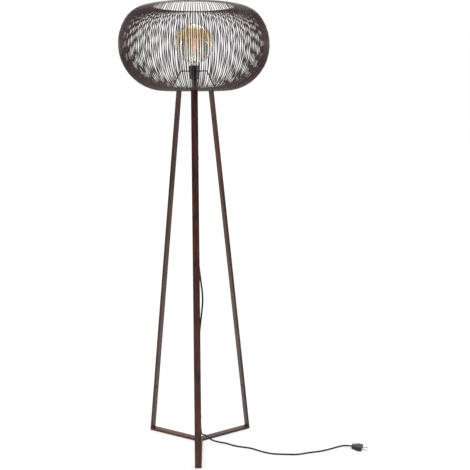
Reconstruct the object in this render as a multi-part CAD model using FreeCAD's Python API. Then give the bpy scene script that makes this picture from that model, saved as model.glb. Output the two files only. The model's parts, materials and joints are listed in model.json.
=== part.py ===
import FreeCAD, Part
import math
import os

# Wire cage floor lamp, in millimetres.
# The origin is on the floor, on the lamp's upright axis. +Z is up and the front leg points to -Y.

V = FreeCAD.Vector
UP = V(0, 0, 1)
SIDEWAYS = V(0, 1, 0)
ORIGIN = V(0, 0, 0)
SAME_LENGTH = 0.01

# ---- Frame of flat bars: a Y on the floor, three leaning legs and a Y at the top ----
BAR_WIDTH = 22.0
BAR_THICKNESS = 8.0
BAR_EDGE_RADIUS = 1.0
FOOT_REACH = 203.0
TOP_REACH = 63.6
FRAME_TOP = 1221.0
LEG_ANGLES = {"front": -90.0, "right": 30.0, "left": 150.0}
PAD_RADIUS = 8.0
PAD_THICKNESS = 2.0
PAD_INSET = 16.0

# ---- Hub, post and lead through it ----
HUB_ACROSS_FLATS = 36.0
TUBE_RADIUS = 5.0
TUBE_BORE_RADIUS = 3.4
TUBE_BELOW_HUB = 19.0
TUBE_INTO_HOLDER = 5.0
THREAD_CLEARANCE = 0.05
NUT_ACROSS_FLATS = 17.0
NUT_HEIGHT = 5.0
SLEEVE_RADIUS = 8.0
RELIEF_RADIUS = 8.0
RELIEF_END_RADIUS = 3.8
RELIEF_COLLAR = 10.0
RELIEF_TAPER = 18.0
CORD_RADIUS = 2.7

# ---- Bulb holder ----
POST_HEIGHT = 26.0
HOLDER_CAP_HEIGHT = 15.0
HOLDER_BODY_HEIGHT = 28.0
HOLDER_RADIUS = 15.3
HOLDER_WALL = 1.5
HOLDER_CAP_ROUND = 4.0
HOLDER_CAP_FLOOR = 2.0
FLANGE_RADIUS = 17.2
FLANGE_HEIGHT = 3.0
FLANGE_RISE = 6.2
INSERT_THICKNESS = 6.0
INSERT_SKIRT = 2.0
INSERT_CLEARANCE = 0.1
SHELL_WALL = 0.4
SHELL_HEIGHT = 26.0
CONTACT_LENGTH = 14.0
CONTACT_WIDTH = 4.0
CONTACT_THICKNESS = 1.2
CONTACT_TIP_RADIUS = 3.5
CONTACT_TIP_HEIGHT = 1.3
TERMINAL_SIZE = 5.0
TERMINAL_OFFSET = 8.0
SHADE_RING_RADIUS = 17.75
SHADE_RING_HEIGHT = 15.5
SHADE_RING_GROOVES = 24
GROOVE_RADIUS = 0.7
RUNNING_GAP = 0.3

# ---- Wire cage ----
WIRE_COUNT = 188
WIRE_RADIUS = 1.3
WIRE_FLATS = 8
CAGE_QUARTERS = ("front", "right", "back", "left")
CAGE_FIRST_ANGLE = -135.0
RING_WIRE_RADIUS = 2.0
CAGE_HANG = 35.5
CAGE_LOWEST_RADIUS = 98.0
CAGE_BELLY_RADIUS = 142.5
CAGE_SHOULDER_ANGLE = 33.0
CAGE_SHOULDER_RADIUS = 93.0
CAGE_TOP_CURL = 50.0
CAGE_BOTTOM_CURL = 30.0
TOP_RING_RADIUS = 131.5
BOTTOM_RING_RADIUS = 80.0

# ---- Spider that carries the cage ----
SPIDER_RING_OUTER = 19.5
SPIDER_RING_HEIGHT = 3.0
SPIDER_WIRE_RADIUS = 1.8
SPIDER_BEND_REACH = 49.0
SPIDER_BEND_RADIUS = 9.0
SPIDER_FIRST_ANGLE = -35.0
SPIDER_ARM_COUNT = 3

# ---- Bulb ----
BULB_RADIUS = 62.5
BULB_RISE = 70.0
GLASS_WALL = 1.0
NECK_RADIUS = 12.4
NECK_FLARE_RADIUS = 14.0
NECK_DEPTH = 9.0
BULB_CAP_RADIUS = 13.1
BULB_CAP_WALL = 0.6
BULB_CAP_HEIGHT = 19.0
THREAD_PITCH = 3.6
THREAD_DEPTH = 0.7
TIP_RADIUS = 4.6
TIP_HEIGHT = 1.4
INSULATOR_HEIGHT = 4.8
INSULATOR_TAPER = 2.8
INSULATOR_TIP_RADIUS = 8.0
STEM_RADIUS = 5.0
STEM_FOOT_HEIGHT = 34.0
STEM_ROD_RADIUS = 1.6
FILAMENT_DROP = 18.0
FILAMENT_HEIGHT = 32.0
FILAMENT_CAGE_RADIUS = 8.0
FILAMENT_RADIUS = 0.55
FILAMENT_COUNT = 8

# ---- Screws and cable clips on the legs' inner faces ----
SCREW_HEIGHTS = (167.0, 1118.0)
CLIP_HEIGHTS = {"lower": 167.0, "upper": 1000.0}
SCREW_SHANK_RADIUS = 1.9
SCREW_DEPTH = 6.0
SCREW_HEAD_RADIUS = 3.4
SCREW_HEAD_HEIGHT = 1.4
SCREW_SLOT = 0.9
SCREW_SLOT_DEPTH = 0.6
CLIP_THICKNESS = 1.2
CLIP_WIDTH = 8.0
CLIP_TAB_HALF = 4.5
CLIP_CORD_OFFSET = 7.6
CLIP_CORD_LIFT = 3.6
CLIP_LOOP_GAP = 0.3

# ---- Plug ----
PLUG_LENGTH = 36.0
PLUG_WIDTH = 34.0
PLUG_TAIL_WIDTH = 15.0
PLUG_THICKNESS = 13.6
PLUG_EDGE_RADIUS = 3.0
PIN_RADIUS = 2.0
PIN_LENGTH = 19.0
PIN_SPACING = 18.6
PIN_SEAT = 4.0

# ---- Cord route: chosen points from the strain relief to the plug ----
CORD_ROUTE = [
    (0.0, 0.0, 1180.0), (0.0, 0.0, 1138.0), (1.5, -16.0, 1098.0), (5.0, -46.0, 1060.0),
    (7.6, -73.8, 1030.0), (7.6, -80.66, 970.0), (6.6, -85.5, 915.0), (5.2, -92.5, 852.0),
    (4.6, -100.0, 780.0), (5.2, -108.5, 706.0), (9.0, -116.0, 646.0), (15.5, -121.0, 598.0),
    (20.6, -125.0, 550.0), (15.8, -131.0, 502.0), (9.0, -137.0, 454.0), (5.6, -144.5, 390.0),
    (5.0, -153.5, 320.0), (6.2, -161.5, 256.0), (7.6, -169.27, 195.0), (7.6, -175.55, 140.0),
    (10.0, -160.0, 104.0), (14.0, -126.0, 82.0), (21.0, -84.0, 62.0), (31.0, -51.0, 37.0),
    (45.0, -30.0, 15.0), (68.0, -21.0, 4.2), (94.0, -28.0, 3.0), (117.0, -47.0, 3.0),
    (146.0, -59.0, 3.0), (178.0, -68.0, 3.0), (208.0, -92.0, 3.0), (244.0, -113.0, 3.0),
    (289.0, -118.0, 3.0), (334.0, -122.0, 3.0), (373.0, -108.0, 3.0), (413.0, -101.0, 3.0),
    (453.0, -83.0, 3.0), (484.0, -66.0, 3.2), (506.0, -66.0, 6.8), (525.0, -74.0, 6.8),
]
RUN_SHARE = 0.45


def write(name, shapes):
    """Writes one node, made of one solid or of several separate ones."""
    solids = shapes if isinstance(shapes, list) else [shapes]
    node = solids[0] if len(solids) == 1 else Part.makeCompound(solids)
    node.exportStep("parts/" + name + ".step")


def turned(shape, degrees):
    """A copy of the shape, turned about the upright axis."""
    copy = shape.copy()
    copy.rotate(ORIGIN, UP, degrees)
    return copy


def cylinder(radius, bottom, top):
    return Part.makeCylinder(radius, top - bottom, V(0, 0, bottom))


def tube(outer, inner, bottom, top):
    return cylinder(outer, bottom, top).cut(cylinder(inner, bottom, top))


def prism(points, direction):
    """A straight prism over a closed outline of points."""
    outline = Part.makePolygon(points + points[:1])
    return Part.Face(outline).extrude(direction)


def revolved(points):
    """A solid of revolution about the upright axis over a closed outline of (radius, height)."""
    outline = Part.makePolygon([V(r, 0, z) for r, z in points + points[:1]])
    return Part.Face(outline).revolve(ORIGIN, UP, 360)


def hexagon(across_flats, bottom, top):
    corner = across_flats / 2 / math.cos(math.pi / 6)
    points = [V(corner * math.cos(math.pi * k / 3), corner * math.sin(math.pi * k / 3), bottom)
              for k in range(6)]
    return prism(points, V(0, 0, top - bottom))


def long_edges_rounded(solid, shortest):
    """Rounds the edges that run along a bar."""
    edges = [edge for edge in solid.Edges if edge.Length > shortest]
    return solid.makeFillet(BAR_EDGE_RADIUS, edges)


# ---- The frame ----
# Each limb is drawn in the upright plane through +X and then turned to its own direction.
ARM_TOP = PAD_THICKNESS + BAR_THICKNESS
ARM_UNDERSIDE = FRAME_TOP - BAR_THICKNESS
LEG_RUN = V(TOP_REACH - FOOT_REACH, 0, FRAME_TOP - PAD_THICKNESS)
LEG_DIRECTION = V(LEG_RUN).normalize()
LEG_INWARD = V(-LEG_DIRECTION.z, 0, LEG_DIRECTION.x)
LEG_OUTER_FOOT = V(FOOT_REACH, 0, PAD_THICKNESS)


def leg_inner_point(height):
    """The point of the leg's inner face at this height, in the plane through +X."""
    start = LEG_OUTER_FOOT + LEG_INWARD * BAR_THICKNESS
    return start + LEG_DIRECTION * ((height - start.z) / LEG_DIRECTION.z)


def limb(outline):
    half = V(0, BAR_WIDTH / 2, 0)
    return prism([point - half for point in outline], half * 2)


def leg():
    outer = [LEG_OUTER_FOOT, V(TOP_REACH, 0, FRAME_TOP)]
    outline = outer + [leg_inner_point(ARM_UNDERSIDE), leg_inner_point(ARM_TOP)]
    return long_edges_rounded(limb(outline), FRAME_TOP / 2)


def floor_arm():
    outline = [V(0, 0, PAD_THICKNESS), LEG_OUTER_FOOT, leg_inner_point(ARM_TOP), V(0, 0, ARM_TOP)]
    bar = long_edges_rounded(limb(outline), FOOT_REACH / 2)
    half = BAR_WIDTH / 2
    mitre = half / math.tan(math.pi / 3)
    tip = [V(mitre, half, 0), V(FOOT_REACH, half, 0), V(FOOT_REACH, -half, 0), V(mitre, -half, 0)]
    point = [ORIGIN] + tip
    return bar.common(prism(point, V(0, 0, FRAME_TOP)))


def top_arm():
    hub_flat = HUB_ACROSS_FLATS / 2
    outline = [V(hub_flat, 0, FRAME_TOP), V(TOP_REACH, 0, FRAME_TOP), leg_inner_point(ARM_UNDERSIDE),
               V(hub_flat, 0, ARM_UNDERSIDE)]
    return long_edges_rounded(limb(outline), (TOP_REACH - hub_flat) / 2)


def at_leg(shape, height, angle):
    """Seats a shape on a leg's inner face: its +Z stands out of the face and its +X runs up the leg."""
    turn = FreeCAD.Rotation(LEG_DIRECTION, LEG_INWARD.cross(LEG_DIRECTION), LEG_INWARD, "ZXY")
    placed = shape.copy()
    placed.Placement = FreeCAD.Placement(leg_inner_point(height), turn).multiply(placed.Placement)
    return turned(placed, angle)


def screw(seat):
    """A round-headed slotted screw whose head stands on a plate of this thickness."""
    shank = cylinder(SCREW_SHANK_RADIUS, -SCREW_DEPTH, seat)
    head = cylinder(SCREW_HEAD_RADIUS, seat, seat + SCREW_HEAD_HEIGHT)
    head = head.makeFillet(SCREW_HEAD_HEIGHT / 2, [head.Edges[0]])
    top = seat + SCREW_HEAD_HEIGHT
    slot = Part.makeBox(2 * SCREW_HEAD_RADIUS, SCREW_SLOT, SCREW_SLOT_DEPTH,
                        V(-SCREW_HEAD_RADIUS, -SCREW_SLOT / 2, top - SCREW_SLOT_DEPTH))
    return shank.fuse(head).removeSplitter().cut(slot)


def screw_hole():
    return cylinder(SCREW_SHANK_RADIUS, -SCREW_DEPTH, CLIP_THICKNESS)


def cable_clip():
    """A flat tab under the screw, bent into a closed loop round the cord at its side."""
    bore = CORD_RADIUS + CLIP_LOOP_GAP
    outer = bore + CLIP_THICKNESS
    axis = V(1, 0, 0)
    start = V(-CLIP_WIDTH / 2, CLIP_CORD_OFFSET, CLIP_CORD_LIFT)
    loop = Part.makeCylinder(outer, CLIP_WIDTH, start, axis)
    tab = Part.makeBox(CLIP_WIDTH, CLIP_TAB_HALF + CLIP_CORD_OFFSET, CLIP_THICKNESS,
                       V(-CLIP_WIDTH / 2, -CLIP_TAB_HALF, 0))
    clip = loop.fuse(tab).cut(Part.makeCylinder(bore, CLIP_WIDTH, start, axis))
    above_face = Part.makeBox(CLIP_WIDTH, BAR_WIDTH * 2, BAR_WIDTH, V(-CLIP_WIDTH / 2, -BAR_WIDTH, 0))
    return clip.common(above_face).cut(cylinder(SCREW_SHANK_RADIUS, 0, CLIP_THICKNESS)).removeSplitter()


def make_frame():
    pads = []
    for side, angle in LEG_ANGLES.items():
        heights = CLIP_HEIGHTS.values() if side == "front" else SCREW_HEIGHTS
        upright = turned(leg(), angle)
        for height in heights:
            upright = upright.cut(at_leg(screw_hole(), height, angle))
        write("leg_" + side, upright)
        write("floor_arm_" + side, turned(floor_arm(), angle))
        write("top_arm_" + side, turned(top_arm(), angle))
        pad = Part.makeCylinder(PAD_RADIUS, PAD_THICKNESS, V(FOOT_REACH - PAD_INSET, 0, 0))
        pads.append(turned(pad, angle))
    write("foot_pads", pads)
    rear = [LEG_ANGLES["right"], LEG_ANGLES["left"]]
    write("leg_screws", [at_leg(screw(0.0), height, angle) for angle in rear for height in SCREW_HEIGHTS])
    front = LEG_ANGLES["front"]
    for place, height in CLIP_HEIGHTS.items():
        write("cable_clip_" + place, at_leg(cable_clip(), height, front))
    write("clip_screws", [at_leg(screw(CLIP_THICKNESS), height, front) for height in CLIP_HEIGHTS.values()])


# ---- Hub and post ----
TUBE_BOTTOM = ARM_UNDERSIDE - TUBE_BELOW_HUB
HOLDER_BASE = FRAME_TOP + POST_HEIGHT
TUBE_TOP = HOLDER_BASE + TUBE_INTO_HOLDER
RELIEF_TOP = ARM_UNDERSIDE - NUT_HEIGHT
RELIEF_SHOULDER = RELIEF_TOP - RELIEF_COLLAR
RELIEF_END = RELIEF_SHOULDER - RELIEF_TAPER
INSERT_TOP = HOLDER_BASE + HOLDER_CAP_HEIGHT
INSERT_UNDERSIDE = INSERT_TOP - INSERT_THICKNESS


def make_post():
    hole = TUBE_RADIUS + THREAD_CLEARANCE
    hub = hexagon(HUB_ACROSS_FLATS, ARM_UNDERSIDE, FRAME_TOP)
    write("top_hub", hub.cut(cylinder(hole, ARM_UNDERSIDE, FRAME_TOP)))
    write("threaded_tube", tube(TUBE_RADIUS, TUBE_BORE_RADIUS, TUBE_BOTTOM, TUBE_TOP))
    nut = hexagon(NUT_ACROSS_FLATS, RELIEF_TOP, ARM_UNDERSIDE)
    write("hub_nut", nut.cut(cylinder(hole, RELIEF_TOP, ARM_UNDERSIDE)))
    write("post_sleeve", tube(SLEEVE_RADIUS, hole, FRAME_TOP, HOLDER_BASE))
    lead_radius = CORD_RADIUS
    write("inner_lead", cylinder(lead_radius, RELIEF_END, INSERT_UNDERSIDE))
    relief = revolved([
        (0, RELIEF_TOP), (RELIEF_RADIUS, RELIEF_TOP), (RELIEF_RADIUS, RELIEF_SHOULDER),
        (RELIEF_END_RADIUS, RELIEF_END), (0, RELIEF_END)])
    relief = relief.cut(cylinder(lead_radius, RELIEF_END, TUBE_BOTTOM))
    write("strain_relief", relief.cut(cylinder(TUBE_RADIUS, TUBE_BOTTOM, RELIEF_TOP)))


# ---- Bulb holder ----
BORE_RADIUS = HOLDER_RADIUS - HOLDER_WALL
HOLDER_TOP = INSERT_TOP + HOLDER_BODY_HEIGHT
FLANGE_TOP = INSERT_TOP + FLANGE_RISE + FLANGE_HEIGHT
SPIDER_RING_TOP = FLANGE_TOP + SPIDER_RING_HEIGHT
CONTACT_TOP = INSERT_TOP + CONTACT_THICKNESS + CONTACT_TIP_HEIGHT


def make_holder():
    cap = cylinder(HOLDER_RADIUS, HOLDER_BASE, INSERT_TOP)
    low_edges = [edge for edge in cap.Edges if edge.BoundBox.ZMax < HOLDER_BASE + HOLDER_CAP_ROUND]
    cap = cap.makeFillet(HOLDER_CAP_ROUND, low_edges)
    cap = cap.cut(cylinder(BORE_RADIUS, HOLDER_BASE + HOLDER_CAP_FLOOR, INSERT_TOP))
    write("holder_cap", cap.cut(cylinder(TUBE_RADIUS, HOLDER_BASE, INSERT_TOP)))
    body = cylinder(HOLDER_RADIUS, INSERT_TOP, HOLDER_TOP)
    body = body.fuse(cylinder(FLANGE_RADIUS, FLANGE_TOP - FLANGE_HEIGHT, FLANGE_TOP)).removeSplitter()
    write("holder_body", body.cut(cylinder(BORE_RADIUS, INSERT_TOP, HOLDER_TOP)))

    insert_radius = BORE_RADIUS - INSERT_CLEARANCE
    insert = cylinder(insert_radius, HOLDER_BASE + HOLDER_CAP_FLOOR, INSERT_TOP)
    hollow = cylinder(insert_radius - INSERT_SKIRT, HOLDER_BASE + HOLDER_CAP_FLOOR, INSERT_UNDERSIDE)
    write("holder_insert", insert.cut(hollow))
    terminals = []
    for sign in (-1, 1):
        half = TERMINAL_SIZE / 2
        corner = V(sign * TERMINAL_OFFSET - half, -half, INSERT_UNDERSIDE - TERMINAL_SIZE)
        terminals.append(Part.makeBox(TERMINAL_SIZE, TERMINAL_SIZE, TERMINAL_SIZE, corner))
    write("terminals", terminals)
    shell_top = INSERT_TOP + SHELL_HEIGHT
    write("thread_shell", tube(insert_radius, insert_radius - SHELL_WALL, INSERT_TOP, shell_top))
    corner = V(-CONTACT_LENGTH / 2, -CONTACT_WIDTH / 2, INSERT_TOP)
    strip = Part.makeBox(CONTACT_LENGTH, CONTACT_WIDTH, CONTACT_THICKNESS, corner)
    button = cylinder(CONTACT_TIP_RADIUS, INSERT_TOP, CONTACT_TOP)
    write("centre_contact", strip.fuse(button).removeSplitter())

    ring_bottom = SPIDER_RING_TOP + RUNNING_GAP
    ring_top = ring_bottom + SHADE_RING_HEIGHT
    ring = tube(SHADE_RING_RADIUS, HOLDER_RADIUS + THREAD_CLEARANCE, ring_bottom, ring_top)
    groove = Part.makeCylinder(GROOVE_RADIUS, SHADE_RING_HEIGHT, V(SHADE_RING_RADIUS, 0, ring_bottom))
    grooves = [turned(groove, 360.0 * k / SHADE_RING_GROOVES) for k in range(SHADE_RING_GROOVES)]
    write("shade_ring", ring.cut(grooves))


# ---- Wire cage ----
CAGE_LOWEST = HOLDER_BASE - CAGE_HANG


def cage_curve():
    """The upright curve of one wire in the plane through +X: four arcs, each tangent to the next."""
    def on_circle(centre, radius, degrees):
        angle = math.radians(degrees)
        return V(centre.x + radius * math.cos(angle), 0, centre.z + radius * math.sin(angle))

    def arc(centre, radius, first, last):
        ends = [on_circle(centre, radius, degrees) for degrees in (first, (first + last) / 2, last)]
        return Part.Arc(*ends).toShape()

    belly = V(CAGE_LOWEST_RADIUS, 0, CAGE_LOWEST + CAGE_BELLY_RADIUS)
    joint = on_circle(belly, CAGE_BELLY_RADIUS, CAGE_SHOULDER_ANGLE)
    shoulder = joint + (belly - joint).normalize() * CAGE_SHOULDER_RADIUS
    bottom_curl = V(CAGE_LOWEST_RADIUS, 0, CAGE_LOWEST + CAGE_BOTTOM_CURL)
    crest = shoulder.z + CAGE_SHOULDER_RADIUS
    top_curl = V(shoulder.x, 0, crest - CAGE_TOP_CURL)
    bottom_turn = math.degrees(math.asin((CAGE_LOWEST_RADIUS - BOTTOM_RING_RADIUS) / CAGE_BOTTOM_CURL))
    top_turn = math.degrees(math.asin((shoulder.x - TOP_RING_RADIUS) / CAGE_TOP_CURL))
    edges = [
        arc(bottom_curl, CAGE_BOTTOM_CURL, -90 - bottom_turn, -90),
        arc(belly, CAGE_BELLY_RADIUS, -90, CAGE_SHOULDER_ANGLE),
        arc(shoulder, CAGE_SHOULDER_RADIUS, CAGE_SHOULDER_ANGLE, 90),
        arc(top_curl, CAGE_TOP_CURL, 90, 90 + top_turn),
    ]
    start = on_circle(bottom_curl, CAGE_BOTTOM_CURL, -90 - bottom_turn)
    end = on_circle(top_curl, CAGE_TOP_CURL, 90 + top_turn)
    return Part.Wire(edges), start, end


def start_of(path):
    """The point where a path starts and its direction there."""
    first = path.OrderedEdges[0]
    parameter = first.FirstParameter if first.Orientation == "Forward" else first.LastParameter
    return path.OrderedVertexes[0].Point, first.tangentAt(parameter)


def swept(path, radius):
    """A round wire of this radius along a path."""
    start, heading = start_of(path)
    section = Part.Wire([Part.Circle(start, heading, radius).toShape()])
    return path.makePipeShell([section], True, False)


def swept_with_flats(path, radius):
    """A thin wire along an upright path, with narrow flats in place of its round."""
    start, heading = start_of(path)
    outward = heading.cross(SIDEWAYS)
    step = 2 * math.pi / WIRE_FLATS
    corners = [
        start + (SIDEWAYS * math.cos(step * k) + outward * math.sin(step * k)) * radius
        for k in range(WIRE_FLATS)
    ]
    section = Part.makePolygon(corners + corners[:1])
    return path.makePipeShell([section], True, False)


def make_cage():
    path, bottom_end, top_end = cage_curve()
    wire = swept_with_flats(path, WIRE_RADIUS)
    pitch = 360.0 / WIRE_COUNT
    for quarter, name in enumerate(CAGE_QUARTERS):
        members = [k for k in range(WIRE_COUNT) if k * len(CAGE_QUARTERS) // WIRE_COUNT == quarter]
        write("cage_wires_" + name, [turned(wire, CAGE_FIRST_ANGLE + k * pitch) for k in members])
    write("cage_ring_bottom", Part.makeTorus(BOTTOM_RING_RADIUS, RING_WIRE_RADIUS, V(0, 0, bottom_end.z)))
    write("cage_ring_top", Part.makeTorus(TOP_RING_RADIUS, RING_WIRE_RADIUS, V(0, 0, top_end.z)))

    middle = FLANGE_TOP + SPIDER_RING_HEIGHT / 2
    ring = tube(SPIDER_RING_OUTER, HOLDER_RADIUS + THREAD_CLEARANCE, FLANGE_TOP, SPIDER_RING_TOP)
    write("spider_ring", ring)
    level_run = [V(SPIDER_RING_OUTER - SPIDER_WIRE_RADIUS, 0, middle), V(SPIDER_BEND_REACH, 0, middle)]
    arm = swept(rounded_path(level_run + [bottom_end], [SPIDER_BEND_RADIUS]), SPIDER_WIRE_RADIUS)
    spacing = 360.0 / SPIDER_ARM_COUNT
    write("spider_arms", [turned(arm, SPIDER_FIRST_ANGLE + spacing * k) for k in range(SPIDER_ARM_COUNT)])


# ---- Bulb ----
BULB_CENTRE = HOLDER_TOP + BULB_RISE
FILAMENT_BOTTOM = BULB_CENTRE - FILAMENT_DROP
FILAMENT_TOP = FILAMENT_BOTTOM + FILAMENT_HEIGHT
CAP_BOTTOM = CONTACT_TOP + RUNNING_GAP + TIP_HEIGHT
INSULATOR_TOP = CAP_BOTTOM + INSULATOR_HEIGHT
CAP_TOP = CAP_BOTTOM + INSULATOR_TAPER + BULB_CAP_HEIGHT


def glass_profile(offset):
    """The globe and its neck as one outline, set in from the outer surface by this much."""
    globe = BULB_RADIUS - offset
    flare = NECK_FLARE_RADIUS + offset
    neck = NECK_RADIUS - offset
    flare_centre = V(neck + flare, 0, 0)
    flare_centre.z = BULB_CENTRE - math.sqrt((globe + flare) ** 2 - flare_centre.x ** 2)
    centre = V(0, 0, BULB_CENTRE)
    outward = (flare_centre - centre).normalize()
    meeting = centre + outward * globe
    neck_top = V(neck, 0, flare_centre.z)
    neck_bottom = V(neck, 0, CAP_TOP - NECK_DEPTH)
    half_way = (V(-1, 0, 0) - outward).normalize()
    top = V(0, 0, BULB_CENTRE + globe)
    edges = [
        Part.LineSegment(neck_bottom, neck_top).toShape(),
        Part.Arc(neck_top, flare_centre + half_way * flare, meeting).toShape(),
        Part.Arc(meeting, V(globe, 0, BULB_CENTRE), top).toShape(),
        Part.LineSegment(top, V(0, 0, neck_bottom.z)).toShape(),
        Part.LineSegment(V(0, 0, neck_bottom.z), neck_bottom).toShape(),
    ]
    return Part.Face(Part.Wire(edges)).revolve(ORIGIN, UP, 360)


def make_bulb():
    write("bulb_glass", glass_profile(0).cut(glass_profile(GLASS_WALL)))
    shell_bottom = CAP_BOTTOM + INSULATOR_TAPER
    inner = BULB_CAP_RADIUS - BULB_CAP_WALL
    outline = [(inner, shell_bottom), (BULB_CAP_RADIUS - THREAD_DEPTH / 2, shell_bottom)]
    turns = int((BULB_CAP_HEIGHT - THREAD_PITCH / 2) / THREAD_PITCH)
    for k in range(turns):
        foot = shell_bottom + THREAD_PITCH * k + THREAD_PITCH / 4
        outline.append((BULB_CAP_RADIUS - THREAD_DEPTH / 2, foot))
        outline.append((BULB_CAP_RADIUS, foot + THREAD_PITCH / 4))
        outline.append((BULB_CAP_RADIUS, foot + THREAD_PITCH / 2))
    outline += [(BULB_CAP_RADIUS - THREAD_DEPTH / 2, CAP_TOP), (inner, CAP_TOP)]
    write("bulb_cap", revolved(outline))
    write("bulb_insulator", revolved([
        (0, CAP_BOTTOM), (INSULATOR_TIP_RADIUS, CAP_BOTTOM), (inner, shell_bottom),
        (inner, INSULATOR_TOP), (0, INSULATOR_TOP)]))
    tip = cylinder(TIP_RADIUS, CAP_BOTTOM - TIP_HEIGHT, CAP_BOTTOM)
    write("bulb_tip_contact", tip.makeFillet(TIP_HEIGHT / 2, [tip.Edges[2]]))
    stem_foot_top = INSULATOR_TOP + STEM_FOOT_HEIGHT
    rod_top = FILAMENT_TOP + STEM_ROD_RADIUS
    write("bulb_stem", revolved([
        (0, INSULATOR_TOP), (STEM_RADIUS, INSULATOR_TOP), (STEM_RADIUS, stem_foot_top - STEM_RADIUS),
        (STEM_ROD_RADIUS, stem_foot_top), (STEM_ROD_RADIUS, rod_top), (0, rod_top)]))
    write("bulb_filament", filament_cage())


def filament_cage():
    """Upright filaments between an upper and a lower support, each support crossing the glass rod."""
    height = FILAMENT_TOP - FILAMENT_BOTTOM
    thickness = 2 * FILAMENT_RADIUS
    pieces = []
    for k in range(FILAMENT_COUNT):
        upright = Part.makeCylinder(FILAMENT_RADIUS, height, V(FILAMENT_CAGE_RADIUS, 0, FILAMENT_BOTTOM))
        pieces.append(turned(upright, 360.0 * k / FILAMENT_COUNT))
        for level in (FILAMENT_BOTTOM, FILAMENT_TOP - thickness):
            corner = V(STEM_ROD_RADIUS, -FILAMENT_RADIUS, level)
            spoke = Part.makeBox(FILAMENT_CAGE_RADIUS - STEM_ROD_RADIUS, thickness, thickness, corner)
            pieces.append(turned(spoke, 360.0 * k / FILAMENT_COUNT))
    for level in (FILAMENT_BOTTOM, FILAMENT_TOP - thickness):
        collar = 2 * STEM_ROD_RADIUS
        pieces.append(tube(collar, STEM_ROD_RADIUS, level, level + thickness))
    return pieces[0].multiFuse(pieces[1:]).removeSplitter()


# ---- Cord and plug ----
def rounded_path(points, radii=None):
    """Straight runs joined by tangent arcs. Where no radii are given, each is as large as its runs allow."""
    edges = []
    used = []
    last = points[0]
    for k in range(1, len(points) - 1):
        before = points[k - 1] - points[k]
        after = points[k + 1] - points[k]
        turn = math.pi - before.getAngle(after)
        reach = RUN_SHARE * min(before.Length, after.Length)
        if radii:
            reach = radii[k - 1] * math.tan(turn / 2)
        radius = reach / math.tan(turn / 2)
        used.append(radius)
        to_before = V(before).normalize()
        to_after = V(after).normalize()
        arc_start = points[k] + to_before * reach
        arc_end = points[k] + to_after * reach
        to_centre = (to_before + to_after).normalize()
        middle = points[k] + to_centre * (radius / math.cos(turn / 2) - radius)
        edges.append(Part.LineSegment(last, arc_start).toShape())
        edges.append(Part.Arc(arc_start, middle, arc_end).toShape())
        last = arc_end
    edges.append(Part.LineSegment(last, points[-1]).toShape())
    if not radii:
        print("cord arc radii:", [round(radius) for radius in used], "least", round(min(used), 1))
    return Part.Wire(edges)


def make_cord():
    points = [V(*point) for point in CORD_ROUTE]
    points[0].z = RELIEF_END
    path = rounded_path(points)
    cord = swept(path, CORD_RADIUS)
    section = math.pi * CORD_RADIUS ** 2
    print("cord length", round(path.Length), "volume over section times length",
          round(cord.Volume / section / path.Length, 4))
    write("cord", cord)
    return points


def make_plug(points):
    """A flat two-pin plug that lies on the floor in line with the cord's last run."""
    heading = points[-1] - points[-2]
    angle = math.degrees(math.atan2(heading.y, heading.x))
    half = PLUG_THICKNESS / 2
    tail = PLUG_TAIL_WIDTH / 2
    broad = PLUG_WIDTH / 2
    shoulder = PLUG_LENGTH / 2
    outline = [V(0, -tail, -half), V(shoulder, -broad, -half), V(PLUG_LENGTH, -broad, -half),
               V(PLUG_LENGTH, broad, -half), V(shoulder, broad, -half), V(0, tail, -half)]
    body = prism(outline, V(0, 0, PLUG_THICKNESS))
    upright = [edge for edge in body.Edges if abs(edge.Length - PLUG_THICKNESS) < SAME_LENGTH]
    upright = [edge for edge in upright if edge.BoundBox.XMin > SAME_LENGTH]
    body = body.makeFillet(PLUG_EDGE_RADIUS, upright)
    pins = []
    for sign in (-1, 1):
        seat = V(PLUG_LENGTH - PIN_SEAT, sign * PIN_SPACING / 2, 0)
        body = body.cut(Part.makeCylinder(PIN_RADIUS, PIN_SEAT, seat, V(1, 0, 0)))
        pins.append(Part.makeCylinder(PIN_RADIUS, PIN_SEAT + PIN_LENGTH, seat, V(1, 0, 0)))
    place = FreeCAD.Placement(V(points[-1].x, points[-1].y, half), FreeCAD.Rotation(UP, angle))
    for piece in [body] + pins:
        piece.Placement = place.multiply(piece.Placement)
    write("plug_body", body)
    write("plug_pins", pins)


os.makedirs("parts", exist_ok=True)
make_frame()
make_post()
make_holder()
make_cage()
make_bulb()
make_plug(make_cord())
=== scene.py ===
import json
import math
import random
import bpy
from mathutils import Matrix, Vector


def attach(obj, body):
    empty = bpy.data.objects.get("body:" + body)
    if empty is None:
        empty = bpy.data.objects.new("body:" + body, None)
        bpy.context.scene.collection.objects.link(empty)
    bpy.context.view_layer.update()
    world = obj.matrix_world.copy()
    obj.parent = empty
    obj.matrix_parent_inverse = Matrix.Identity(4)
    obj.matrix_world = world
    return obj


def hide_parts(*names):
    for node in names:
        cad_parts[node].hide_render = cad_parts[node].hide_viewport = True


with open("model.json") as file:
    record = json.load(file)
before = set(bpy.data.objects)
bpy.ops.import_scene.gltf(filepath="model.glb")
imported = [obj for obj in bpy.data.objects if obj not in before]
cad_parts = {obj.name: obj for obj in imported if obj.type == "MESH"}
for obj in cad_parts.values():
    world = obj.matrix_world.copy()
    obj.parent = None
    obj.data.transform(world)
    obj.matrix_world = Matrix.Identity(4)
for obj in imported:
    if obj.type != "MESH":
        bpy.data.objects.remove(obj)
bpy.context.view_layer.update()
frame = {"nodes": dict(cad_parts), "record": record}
nodes = frame["nodes"]

# ---- Camera ----
PHOTO_WIDTH = 470
FOCAL_PIXELS = 736.5
SENSOR_WIDTH = 36.0
VIEW_REACH = 60
CAMERA_PLACE = Vector((0.0643, -2.4317, 1.1670))
CAMERA_DOWN = math.radians(10.06)
CAMERA_TURN = math.radians(-1.50)
CAMERA_ROLL = math.radians(0.25)


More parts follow.
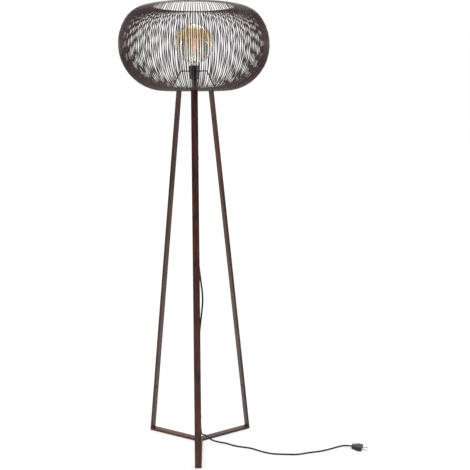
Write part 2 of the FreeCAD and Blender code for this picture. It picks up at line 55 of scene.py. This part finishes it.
def make_camera():
    """Sets the camera where the photograph was taken from."""
    data = bpy.data.cameras.new("camera")
    data.sensor_width = SENSOR_WIDTH
    data.lens = SENSOR_WIDTH * FOCAL_PIXELS / PHOTO_WIDTH
    data.clip_end = VIEW_REACH
    camera = bpy.data.objects.new("camera", data)
    bpy.context.scene.collection.objects.link(camera)
    level = math.radians(90)
    turn = Matrix.Rotation(CAMERA_TURN, 4, "Z")
    pitch = Matrix.Rotation(level - CAMERA_DOWN, 4, "X")
    roll = Matrix.Rotation(-CAMERA_ROLL, 4, "Z")
    camera.matrix_world = Matrix.Translation(CAMERA_PLACE) @ turn @ pitch @ roll
    bpy.context.scene.camera = camera


make_camera()

# ---- The cord's facts and route, in metres ----
CORD_DIAMETER = 0.0054
CORD_ROUNDNESS = 4
CORD_STEPS = 8
CORD_ROUTE = [
    (0.0, 0.0, 1.180), (0.0, 0.0, 1.138), (0.0015, -0.016, 1.098), (0.005, -0.046, 1.060),
    (0.0076, -0.0738, 1.030), (0.0076, -0.08066, 0.970), (0.0066, -0.0855, 0.915), (0.0052, -0.0925, 0.852),
    (0.0046, -0.100, 0.780), (0.0052, -0.1085, 0.706), (0.009, -0.116, 0.646), (0.0155, -0.121, 0.598),
    (0.0206, -0.125, 0.550), (0.0158, -0.131, 0.502), (0.009, -0.137, 0.454), (0.0056, -0.1445, 0.390),
    (0.005, -0.1535, 0.320), (0.0062, -0.1615, 0.256), (0.0076, -0.16927, 0.195), (0.0076, -0.17555, 0.140),
    (0.010, -0.160, 0.104), (0.014, -0.126, 0.082), (0.021, -0.084, 0.062), (0.031, -0.051, 0.037),
    (0.045, -0.030, 0.015), (0.068, -0.021, 0.0042), (0.094, -0.028, 0.003), (0.117, -0.047, 0.003),
    (0.146, -0.059, 0.003), (0.178, -0.068, 0.003), (0.208, -0.092, 0.003), (0.244, -0.113, 0.003),
    (0.289, -0.118, 0.003), (0.334, -0.122, 0.003), (0.373, -0.108, 0.003), (0.413, -0.101, 0.003),
    (0.453, -0.083, 0.003), (0.484, -0.066, 0.0032), (0.506, -0.066, 0.0068), (0.525, -0.074, 0.0068),
]


def make_cord():
    """A smooth curve along the route. Its thickness is the points' radius, so its bevel is 1."""
    curve = bpy.data.curves.new("power_cord", "CURVE")
    curve.dimensions = "3D"
    curve.bevel_depth = 1.0
    curve.bevel_resolution = CORD_ROUNDNESS
    curve.resolution_u = CORD_STEPS
    curve.use_fill_caps = True
    spline = curve.splines.new("NURBS")
    spline.points.add(len(CORD_ROUTE) - 1)
    for point, place in zip(spline.points, CORD_ROUTE):
        point.co = (*place, 1.0)
        point.radius = CORD_DIAMETER / 2
    spline.order_u = 3
    spline.use_endpoint_u = True
    cord = bpy.data.objects.new("power_cord", curve)
    bpy.context.scene.collection.objects.link(cord)
    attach(cord, "root")
    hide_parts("cord")
    return cord


cord = make_cord()

# ---- Shader maths ----
BLACK = (0.0, 0.0, 0.0, 1.0)
WHITE = (1.0, 1.0, 1.0, 1.0)
MIX_COLOUR_INPUTS = (0, 6, 7)
MIX_COLOUR_OUTPUT = 2


class Value:
    """A node's output. Arithmetic on it adds Math nodes."""

    def __init__(self, maker, socket):
        self.maker = maker
        self.socket = socket

    def math(self, operation, other):
        return self.maker.node("ShaderNodeMath", {"operation": operation}, self, other)

    def __add__(self, other):
        return self.math("ADD", other)

    __radd__ = __add__

    def __mul__(self, other):
        return self.math("MULTIPLY", other)

    __rmul__ = __mul__


class NodeMaker:
    """Adds nodes to one node tree."""

    def __init__(self, tree):
        self.tree = tree

    def feed(self, socket, value):
        """Sets a socket to a value, or links it to a node's output."""
        if isinstance(value, Value):
            self.tree.links.new(value.socket, socket)
        else:
            socket.default_value = value

    def node(self, kind, settings=None, *inputs, output=0, numbered=None, **named):
        """Adds a node with its settings and the values or links of its inputs, and gives one output."""
        made = self.tree.nodes.new(kind)
        for key, setting in (settings or {}).items():
            if key == "stops":
                self.set_stops(made.color_ramp, setting)
            else:
                setattr(made, key, setting)
        for socket, value in zip(made.inputs, inputs):
            self.feed(socket, value)
        for key, value in {**(numbered or {}), **named}.items():
            self.feed(made.inputs[key], value)
        return Value(self, made.outputs[output])

    def set_stops(self, ramp, stops):
        while len(ramp.elements) < len(stops):
            ramp.elements.new(1.0)
        for element, (place, colour) in zip(ramp.elements, stops):
            element.position = place
            element.color = colour

    def place(self):
        """Where a point of the surface lies, in metres from the lamp's origin."""
        return self.node("ShaderNodeTexCoord", output="Object")

    def noise(self, scale, detail=3.0, stretch=(1, 1, 1)):
        spot = self.node("ShaderNodeMapping", {}, self.place(), Scale=stretch)
        return self.node("ShaderNodeTexNoise", {}, Vector=spot, Scale=scale, Detail=detail)

    def blend(self, amount, first, second):
        """A colour between two others."""
        sockets = dict(zip(MIX_COLOUR_INPUTS, (amount, first, second)))
        return self.node("ShaderNodeMix", {"data_type": "RGBA"}, output=MIX_COLOUR_OUTPUT, numbered=sockets)

    def ramp(self, value, *stops):
        return self.node("ShaderNodeValToRGB", {"stops": stops}, value)

    def mask(self, value, low, high):
        """0 up to low and 1 from high on."""
        return self.ramp(value, (low, BLACK), (high, WHITE))

    def ray(self, kind):
        """1 for the rays of one kind and 0 for all others."""
        return self.node("ShaderNodeLightPath", output=kind)


class Finish(NodeMaker):
    """A material under construction, with its one Principled shader."""

    def __init__(self, name, **fixed):
        self.material = bpy.data.materials.new(name)
        self.material.use_nodes = True
        super().__init__(self.material.node_tree)
        self.shader = self.tree.nodes["Principled BSDF"]
        for socket, value in fixed.items():
            self.shader.inputs[socket.replace("_", " ")].default_value = value

    def bumped(self, height, strength, distance):
        bump = self.node("ShaderNodeBump", {}, Strength=strength, Distance=distance, Height=height)
        self.feed(self.shader.inputs["Normal"], bump)

    def surface(self, **inputs):
        for socket, value in inputs.items():
            self.feed(self.shader.inputs[socket.replace("_", " ")], value)


def rgb(red, green, blue):
    """A linear colour from the usual 0 to 255 values."""
    def linear(level):
        part = level / 255
        return part / 12.92 if part <= 0.04045 else ((part + 0.055) / 1.055) ** 2.4
    return (linear(red), linear(green), linear(blue), 1.0)


# ---- Finishes ----
def bronze_bar():
    """Flat bar in satin bronze paint, a little uneven, with paler rubbed patches."""
    finish = Finish("bronze_bar", IOR=1.5, Specular_IOR_Level=0.33, Coat_Weight=0.3, Coat_Roughness=0.2)
    cloud = finish.noise(9.0, 4.0)
    grain = finish.noise(120.0, 3.0, (1, 1, 0.12))
    speck = finish.noise(900.0, 2.0)
    base = finish.blend(finish.mask(cloud, 0.36, 0.66), rgb(43, 18, 10), rgb(82, 33, 17))
    colour = finish.blend(finish.mask(grain, 0.42, 0.75) * 0.38, base, rgb(110, 74, 58))
    finish.surface(Base_Color=colour, Metallic=0.1, Roughness=0.3 + 0.16 * grain)
    finish.bumped(0.6 * grain + 0.4 * speck, 0.25, 0.0004)
    return finish.material


def cage_wire():
    """Drawn wire in satin dark bronze."""
    finish = Finish("cage_wire", IOR=1.5, Coat_Weight=0.25, Coat_Roughness=0.25)
    cloud = finish.noise(22.0, 3.0)
    speck = finish.noise(700.0, 2.0)
    colour = finish.blend(cloud, rgb(38, 15, 13), rgb(68, 37, 34))
    finish.surface(Base_Color=colour, Metallic=0.45, Roughness=0.26 + 0.14 * speck)
    finish.bumped(speck, 0.15, 0.0002)
    return finish.material


def speckled(name, noise, dark, pale, roughness, bump, metallic=0.0, depth=0.0002, **fixed):
    """A finish whose colour, roughness and bump all follow one fine noise.

    Noise is its scale and detail, and roughness is the least value and the span above it.
    """
    finish = Finish(name, IOR=1.5, **fixed)
    speck = finish.noise(*noise)
    least, span = roughness
    colour = finish.blend(speck, dark, pale)
    finish.surface(Base_Color=colour, Metallic=metallic, Roughness=least + span * speck)
    finish.bumped(speck, bump, depth)
    return finish.material


def black_plastic():
    """Moulded plastic with a fine grain."""
    finish = Finish("black_plastic", IOR=1.5)
    speck = finish.noise(1400.0, 2.0)
    cloud = finish.noise(40.0, 2.0)
    colour = finish.blend(cloud, rgb(17, 17, 18), rgb(30, 30, 31))
    finish.surface(Base_Color=colour, Roughness=0.22 + 0.18 * speck)
    finish.bumped(speck, 0.25, 0.0002)
    return finish.material


def cord_black():
    """The lead's sheath, a little dusty."""
    finish = Finish("cord_black", IOR=1.5, Specular_IOR_Level=0.25)
    speck = finish.noise(500.0, 2.0)
    dust = finish.noise(30.0, 3.0)
    colour = finish.blend(dust, rgb(9, 9, 10), rgb(26, 25, 25))
    finish.surface(Base_Color=colour, Roughness=0.42 + 0.2 * speck)
    finish.bumped(speck, 0.2, 0.0002)
    return finish.material


# The heights between which the glass turns amber, in metres
AMBER_FROM = 1.30
AMBER_TO = 1.42


def amber_glass():
    """Thin blown glass, nearly clear below and amber above."""
    finish = Finish("amber_glass", IOR=1.28, Transmission_Weight=1.0)
    wave = finish.noise(14.0, 2.0)
    height = finish.node("ShaderNodeSeparateXYZ", {}, finish.place(), output="Z")
    rise = finish.node("ShaderNodeMapRange", {}, height, AMBER_FROM, AMBER_TO, 0.0, 1.0)
    colour = finish.ramp(rise, (0.4, rgb(252, 251, 246)), (0.72, rgb(245, 229, 199)),
                         (1.0, rgb(250, 242, 226)))
    finish.surface(Base_Color=colour, Roughness=0.02 + 0.03 * wave)
    finish.bumped(wave, 0.05, 0.0005)
    return finish.material


def clear_glass():
    """The stem inside the bulb."""
    finish = Finish("clear_glass", IOR=1.45, Transmission_Weight=1.0)
    wave = finish.noise(60.0, 2.0)
    colour = finish.blend(wave, rgb(236, 236, 230), rgb(248, 248, 244))
    finish.surface(Base_Color=colour, Roughness=0.03 + 0.04 * wave)
    return finish.material


def filament():
    """Glowing filament, a little uneven along its loops."""
    finish = Finish("filament", IOR=1.5, Emission_Strength=1.5)
    glow = finish.noise(240.0, 2.0)
    colour = finish.blend(glow, rgb(226, 98, 52), rgb(250, 160, 100))
    finish.surface(Base_Color=rgb(120, 60, 24), Roughness=0.5 + 0.1 * glow, Emission_Color=colour)
    return finish.material


FINISHES = {
    "bronze_bar": bronze_bar(),
    "cage_wire": cage_wire(),
    "black_wire": speckled("black_wire", (600.0, 2.0), rgb(8, 8, 8), rgb(20, 19, 20), (0.35, 0.15), 0.2,
                           metallic=0.2, Specular_IOR_Level=0.3),
    "dark_screw": speckled("dark_screw", (500.0, 3.0), rgb(40, 34, 30), rgb(78, 70, 62), (0.32, 0.2), 0.2,
                           metallic=0.85),
    "black_plastic": black_plastic(),
    "black_rubber": speckled("black_rubber", (1100.0, 3.0), rgb(18, 18, 18), rgb(38, 37, 36), (0.6, 0.2), 0.3,
                             depth=0.0003),
    "cord_black": cord_black(),
    "brass_nickel": speckled("brass_nickel", (300.0, 3.0), rgb(178, 170, 150), rgb(208, 200, 184),
                             (0.22, 0.2), 0.15, metallic=1.0),
    "ceramic": speckled("ceramic", (260.0, 3.0), rgb(226, 220, 206), rgb(240, 236, 226), (0.3, 0.1), 0.1,
                        Coat_Weight=0.4),
    "amber_glass": amber_glass(),
    "clear_glass": clear_glass(),
    "filament": filament(),
}


def dress_nodes():
    """Gives every node of the frame the finish of its slot."""
    for part in frame["record"]["subparts"]:
        piece = nodes[part["node"]]
        piece.data.materials.clear()
        piece.data.materials.append(FINISHES[part["material_slot"]])


dress_nodes()

# ---- Modelling helpers ----
# Profiles and the sizes of the pieces are in millimetres, but for the plug's, which are in metres.
MM = 0.001
SMOOTH_ANGLE = math.radians(35)


def finish_piece(piece, body, slot_name, *replaced):
    """Sets a finished piece at the origin, smooth, in its finish and on its body."""
    bpy.ops.object.transform_apply(location=True, rotation=True, scale=True)
    bpy.ops.object.shade_smooth_by_angle(angle=SMOOTH_ANGLE)
    piece.data.materials.clear()
    piece.data.materials.append(FINISHES[slot_name])
    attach(piece, body)
    if replaced:
        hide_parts(*replaced)
    return piece


def add_lathe(name, profile, segments, close_last=False):
    """Turns a profile of (radius, height) in millimetres about the lamp's axis.

    It starts as a circle, which is extruded and resized from point to point.
    """
    bpy.ops.object.select_all(action="DESELECT")
    radius, height = profile[0]
    bpy.ops.mesh.primitive_circle_add(vertices=segments, radius=radius * MM, location=(0, 0, height * MM))
    piece = bpy.context.active_object
    piece.name = name
    bpy.ops.object.transform_apply(location=True)
    bpy.ops.object.mode_set(mode="EDIT")
    bpy.ops.mesh.select_all(action="SELECT")
    for next_radius, next_height in profile[1:]:
        step = (0, 0, (next_height - height) * MM)
        bpy.ops.mesh.extrude_edges_move(TRANSFORM_OT_translate={"value": step})
        share = next_radius / radius
        bpy.ops.transform.resize(value=(share, share, 1), center_override=(0, 0, next_height * MM))
        radius, height = next_radius, next_height
    if close_last:
        bpy.ops.mesh.merge(type="CENTER")
    return piece


def close_lathe():
    """Fills the open ends, turns the faces outward and leaves edit mode."""
    bpy.ops.mesh.select_all(action="SELECT")
    bpy.ops.mesh.fill_holes(sides=0)
    bpy.ops.mesh.select_all(action="SELECT")
    bpy.ops.mesh.normals_make_consistent(inside=False)
    bpy.ops.object.mode_set(mode="OBJECT")


def arc_points(centre, radius, first, last, steps):
    """Points (radius, height) along an arc, angles in degrees from the level."""
    points = []
    for k in range(steps + 1):
        angle = math.radians(first + (last - first) * k / steps)
        points.append((centre[0] + radius * math.cos(angle), centre[1] + radius * math.sin(angle)))
    return points


def select_points(piece, wanted):
    """Selects the vertices whose place passes the test, and nothing else."""
    bpy.ops.object.mode_set(mode="EDIT")
    bpy.ops.mesh.select_mode(type="VERT")
    bpy.ops.mesh.select_all(action="DESELECT")
    bpy.ops.object.mode_set(mode="OBJECT")
    for vertex in piece.data.vertices:
        vertex.select = wanted(vertex.co)


# ---- Bulb: the blown globe ----
GLOBE_RADIUS = 62.5
GLOBE_CENTRE = 1360.0
NECK_RADIUS = 12.4
FLARE_RADIUS = 14.0
NECK_BOTTOM = 1279.0
GLASS_WALL = 0.9
FLARE_STEPS = 10
GLOBE_STEPS = 44
GLOBE_TOP_ANGLE = 88
GLOBE_SEGMENTS = 96


def make_globe():
    """The globe with its flared neck, as a thin wall of glass."""
    flare_x = NECK_RADIUS + FLARE_RADIUS
    flare_z = GLOBE_CENTRE - math.sqrt((GLOBE_RADIUS + FLARE_RADIUS) ** 2 - flare_x ** 2)
    meeting = math.degrees(math.atan2(flare_z - GLOBE_CENTRE, flare_x))
    profile = [(NECK_RADIUS, NECK_BOTTOM)]
    profile += arc_points((flare_x, flare_z), FLARE_RADIUS, 180, meeting + 180, FLARE_STEPS)
    profile += arc_points((0, GLOBE_CENTRE), GLOBE_RADIUS, meeting, GLOBE_TOP_ANGLE, GLOBE_STEPS)[1:]
    globe = add_lathe("globe", profile, GLOBE_SEGMENTS, close_last=True)
    bpy.ops.mesh.select_all(action="SELECT")
    bpy.ops.mesh.normals_make_consistent(inside=False)
    bpy.ops.object.mode_set(mode="OBJECT")
    wall = globe.modifiers.new("wall", "SOLIDIFY")
    wall.thickness = GLASS_WALL * MM
    wall.offset = -1
    bpy.ops.object.modifier_apply(modifier="wall")
    finish_piece(globe, "bulb", "amber_glass", "bulb_glass")
    bpy.ops.object.shade_smooth()


# ---- Cage wires: fine round wires, each a little out of true ----
WIRE_COUNT = 188
WIRE_RADIUS = 1.3
WIRE_SEED = 41
SWAY = math.radians(0.38)
BEND = math.radians(0.20)
CAGE_FIRST_ANGLE = math.radians(-135)
CAGE_QUARTERS = ("front", "right", "back", "left")
CAGE_LOWEST = 1211.5
CAGE_LOWEST_RADIUS = 98.0
CAGE_BELLY = 142.5
CAGE_SHOULDER = 93.0
CAGE_SHOULDER_ANGLE = 33.0
TOP_CURL = 50.0
BOTTOM_CURL = 30.0
TOP_RING = 131.5
BOTTOM_RING = 80.0
OUTLINE_STEPS = (3, 14, 6, 4)


def cage_outline():
    """Points (radius, height) of one upright wire, from the bottom ring to the top ring."""
    bottom_steps, belly_steps, shoulder_steps, top_steps = OUTLINE_STEPS
    joint = math.radians(CAGE_SHOULDER_ANGLE)
    belly_height = CAGE_LOWEST + CAGE_BELLY
    inward = CAGE_BELLY - CAGE_SHOULDER
    shoulder = (CAGE_LOWEST_RADIUS + inward * math.cos(joint), belly_height + inward * math.sin(joint))
    bottom_turn = math.degrees(math.asin((CAGE_LOWEST_RADIUS - BOTTOM_RING) / BOTTOM_CURL))
    top_turn = math.degrees(math.asin((shoulder[0] - TOP_RING) / TOP_CURL))
    bottom = (CAGE_LOWEST_RADIUS, CAGE_LOWEST + BOTTOM_CURL)
    top = (shoulder[0], shoulder[1] + CAGE_SHOULDER - TOP_CURL)
    outline = arc_points(bottom, BOTTOM_CURL, -90 - bottom_turn, -90, bottom_steps)
    belly = (CAGE_LOWEST_RADIUS, belly_height)
    outline += arc_points(belly, CAGE_BELLY, -90, CAGE_SHOULDER_ANGLE, belly_steps)[1:]
    outline += arc_points(shoulder, CAGE_SHOULDER, CAGE_SHOULDER_ANGLE, 90, shoulder_steps)[1:]
    outline += arc_points(top, TOP_CURL, 90, 90 + top_turn, top_steps)[1:]
    return outline


def make_cage_wires():
    """Bends each wire along the cage's outline. Its middle strays sideways a little, as welded wire does."""
    outline = cage_outline()
    chance = random.Random(WIRE_SEED)
    for quarter, side in enumerate(CAGE_QUARTERS):
        curve = bpy.data.curves.new("wires_" + side, "CURVE")
        curve.dimensions = "3D"
        curve.bevel_depth = WIRE_RADIUS * MM
        curve.bevel_resolution = 1
        curve.use_fill_caps = True
        for k in range(WIRE_COUNT):
            if k * len(CAGE_QUARTERS) // WIRE_COUNT != quarter:
                continue
            angle = CAGE_FIRST_ANGLE + 2 * math.pi * k / WIRE_COUNT
            sway = chance.uniform(-SWAY, SWAY)
            bend = chance.uniform(-BEND, BEND)
            spline = curve.splines.new("POLY")
            spline.points.add(len(outline) - 1)
            for index, (point, (radius, height)) in enumerate(zip(spline.points, outline)):
                along = math.pi * index / (len(outline) - 1)
                turn = angle + sway * math.sin(along) + bend * math.sin(2 * along)
                point.co = (radius * MM * math.cos(turn), radius * MM * math.sin(turn), height * MM, 1.0)
        wires = bpy.data.objects.new("wires_" + side, curve)
        bpy.context.scene.collection.objects.link(wires)
        bpy.ops.object.select_all(action="DESELECT")
        wires.select_set(True)
        bpy.context.view_layer.objects.active = wires
        bpy.ops.object.convert(target="MESH")
        wires = bpy.context.active_object
        finish_piece(wires, "root", "cage_wire", "cage_wires_" + side)
        bpy.ops.object.shade_smooth(keep_sharp_edges=False)


# ---- Strain relief with rings round its taper ----
RELIEF_TOP = 1208.0
RELIEF_SHOULDER = 1198.0
RELIEF_END = 1180.0
RELIEF_RADIUS = 8.0
RELIEF_END_RADIUS = 3.8
TAPER_RADIUS = 7.0
TIP_EDGE = 0.4
TIP_EDGE_HEIGHT = 0.5
RELIEF_RINGS = 5
RING_GROOVE = 0.7
# Where the first ring starts and where its parts end, as shares of the rings' pitch
RING_START = 0.25
GROOVE_END = 0.35
SLOPE_END = 0.45
RING_END = 0.9
RELIEF_BORE = 2.75
RELIEF_EDGE = 0.6
RELIEF_SEGMENTS = 40


def make_strain_relief():
    """A collar above and a taper below with rings that are cut into it."""
    profile = [(RELIEF_BORE, RELIEF_TOP), (RELIEF_RADIUS - RELIEF_EDGE, RELIEF_TOP),
               (RELIEF_RADIUS, RELIEF_TOP - RELIEF_EDGE), (RELIEF_RADIUS, RELIEF_SHOULDER + RELIEF_EDGE),
               (RELIEF_RADIUS - RELIEF_EDGE, RELIEF_SHOULDER)]
    pitch = (RELIEF_SHOULDER - RELIEF_END) / (RELIEF_RINGS + 0.5)
    for ring in range(RELIEF_RINGS):
        top = RELIEF_SHOULDER - pitch * (ring + RING_START)
        share = (RELIEF_SHOULDER - top) / (RELIEF_SHOULDER - RELIEF_END)
        radius = TAPER_RADIUS - (TAPER_RADIUS - RELIEF_END_RADIUS) * share
        profile += [(radius - RING_GROOVE, top), (radius - RING_GROOVE, top - pitch * GROOVE_END),
                    (radius, top - pitch * SLOPE_END), (radius, top - pitch * RING_END)]
    profile += [(RELIEF_END_RADIUS, RELIEF_END + TIP_EDGE_HEIGHT), (RELIEF_END_RADIUS - TIP_EDGE, RELIEF_END),
                (RELIEF_BORE, RELIEF_END)]
    relief = add_lathe("ribbed_strain_relief", profile, RELIEF_SEGMENTS)
    close_lathe()
    finish_piece(relief, "root", "black_rubber", "strain_relief")


# ---- Plug ----
PLUG_PLACE = Vector((0.525, -0.074, 0.0068))
PLUG_HEADING = math.atan2(-0.008, 0.019)
PLUG_LENGTH = 0.036
PLUG_WIDTH = 0.034
PLUG_THICKNESS = 0.0136
TAIL_SHARE = 0.44
PLUG_CUTS = (0.06, 0.11, 0.16, 0.21, 0.26, 0.31, 0.36, 0.41, 0.5, 0.62)
# The cuts up to this one alternate between full width and a pinch
LAST_RIB = 8
PINCH = 0.9
PLUG_EDGE = 0.0012
PLUG_EDGE_STEPS = 3
SAME_PLACE = 1e-5


def make_plug():
    """A flat moulded plug: a block narrowed to its tail, pinched into grip ribs and rounded."""
    bpy.ops.object.select_all(action="DESELECT")
    bpy.ops.mesh.primitive_cube_add(size=1, location=(0, 0, 0))
    plug = bpy.context.active_object
    plug.name = "moulded_plug"
    plug.scale = (PLUG_LENGTH, PLUG_WIDTH, PLUG_THICKNESS)
    plug.location = (PLUG_LENGTH / 2, 0, 0)
    bpy.ops.object.transform_apply(location=True, scale=True)
    bpy.ops.object.mode_set(mode="EDIT")
    cuts = [PLUG_LENGTH * share for share in PLUG_CUTS]
    for cut in cuts:
        bpy.ops.mesh.select_all(action="SELECT")
        bpy.ops.mesh.bisect(plane_co=(cut, 0, 0), plane_no=(1, 0, 0))
    bpy.ops.object.mode_set(mode="OBJECT")
    stations = [0.0] + cuts + [PLUG_LENGTH]
    for index, station in enumerate(stations):
        widen = min(1.0, station / (PLUG_LENGTH / 2))
        across = TAIL_SHARE + (1 - TAIL_SHARE) * widen
        pinch = PINCH if 1 <= index <= LAST_RIB and index % 2 == 0 else 1.0
        select_points(plug, lambda point: abs(point.x - station) < SAME_PLACE)
        bpy.ops.object.mode_set(mode="EDIT")
        bpy.ops.transform.resize(value=(1, across * pinch, pinch), center_override=(station, 0, 0))
        bpy.ops.object.mode_set(mode="OBJECT")
    edge = plug.modifiers.new("edge", "BEVEL")
    edge.width = PLUG_EDGE
    edge.segments = PLUG_EDGE_STEPS
    edge.limit_method = "ANGLE"
    bpy.ops.object.modifier_apply(modifier="edge")
    plug.rotation_euler = (0, 0, PLUG_HEADING)
    plug.location = PLUG_PLACE
    return finish_piece(plug, "root", "black_plastic", "plug_body")


make_globe()
make_cage_wires()
make_strain_relief()
plug = make_plug()
cord.data.materials.append(FINISHES["cord_black"])

# ---- Floor, backdrop and light ----
FLOOR_SIZE = 40
FLOOR_GREY = (0.86, 0.86, 0.86, 1.0)
FLOOR_GLOW_SHARE = 0.6
# The distances from the lamp, in metres, between which the floor's glow grows, and its strengths there
GLOW_REACH = (1.2, 5.0)
GLOW_STRENGTH = (1.12, 1.45)
# The light all round, and how much of the white a gloss ray sees as it turns from front to back
STUDIO_LEVEL = 0.5
BACKDROP_REACH = (-0.6, 0.3)
BACKDROP_SHARE = (-0.65, 1.0)


def floor_white():
    """Pale floor that also glows for the camera, more so far from the lamp, so that it ends in white."""
    finish = Finish("floor_white", Base_Color=FLOOR_GREY, Roughness=0.8)
    distance = finish.node("ShaderNodeVectorMath", {"operation": "LENGTH"}, finish.place(), output="Value")
    strength = finish.node("ShaderNodeMapRange", {}, distance, *GLOW_REACH, *GLOW_STRENGTH)
    glow = finish.node("ShaderNodeEmission", {}, Strength=strength)
    lit = Value(finish, finish.shader.outputs[0])
    mixed = finish.node("ShaderNodeMixShader", {}, FLOOR_GLOW_SHARE * finish.ray("Is Camera Ray"), lit, glow)
    finish.feed(finish.tree.nodes["Material Output"].inputs["Surface"], mixed)
    return finish.material


def make_stage():
    bpy.ops.object.select_all(action="DESELECT")
    bpy.ops.mesh.primitive_plane_add(size=FLOOR_SIZE)
    floor = bpy.context.active_object
    floor.name = "floor"
    floor.data.materials.append(floor_white())


def make_world():
    """White for the camera and through glass. Gloss sees it white behind the lamp and darker in front."""
    world = bpy.data.worlds.new("studio")
    bpy.context.scene.world = world
    world.use_nodes = True
    maker = NodeMaker(world.node_tree)
    seen = maker.ray("Is Camera Ray").math("MAXIMUM", maker.ray("Is Transmission Ray"))
    direction = maker.node("ShaderNodeTexCoord", output="Generated")
    depth = maker.node("ShaderNodeSeparateXYZ", {}, direction, output="Y")
    behind = maker.node("ShaderNodeMapRange", {}, depth, *BACKDROP_REACH, *BACKDROP_SHARE)
    white = (seen + maker.ray("Is Glossy Ray") * behind).math("MINIMUM", 1.0)
    back = maker.tree.nodes["Background"]
    maker.feed(back.inputs["Strength"], STUDIO_LEVEL + (1.0 - STUDIO_LEVEL) * white)
    maker.feed(back.inputs["Color"], WHITE)


def area_light(name, place, target, size, power):
    data = bpy.data.lights.new(name, "AREA")
    data.size = size
    data.energy = power
    light = bpy.data.objects.new(name, data)
    bpy.context.scene.collection.objects.link(light)
    light.location = place
    light.rotation_euler = (Vector(target) - Vector(place)).to_track_quat("-Z", "Y").to_euler()


LIGHTS = (
    # name, place, target, size in metres, power in watts
    ("key", (-1.8, -2.2, 3.0), (0, 0, 0.9), 1.6, 30),
    ("fill", (2.4, -1.6, 2.2), (0, 0, 0.9), 1.6, 8),
    ("left_strip", (-2.3, -0.4, 1.45), (0, 0, 1.35), 0.5, 14),
    ("right_strip", (2.3, -0.4, 1.45), (0, 0, 1.35), 0.5, 14),
    ("top", (0.2, 0.8, 3.6), (0, 0, 0.9), 1.8, 55),
)

make_stage()
make_world()
for light in LIGHTS:
    area_light(*light)
bpy.context.scene.view_settings.view_transform = "Standard"
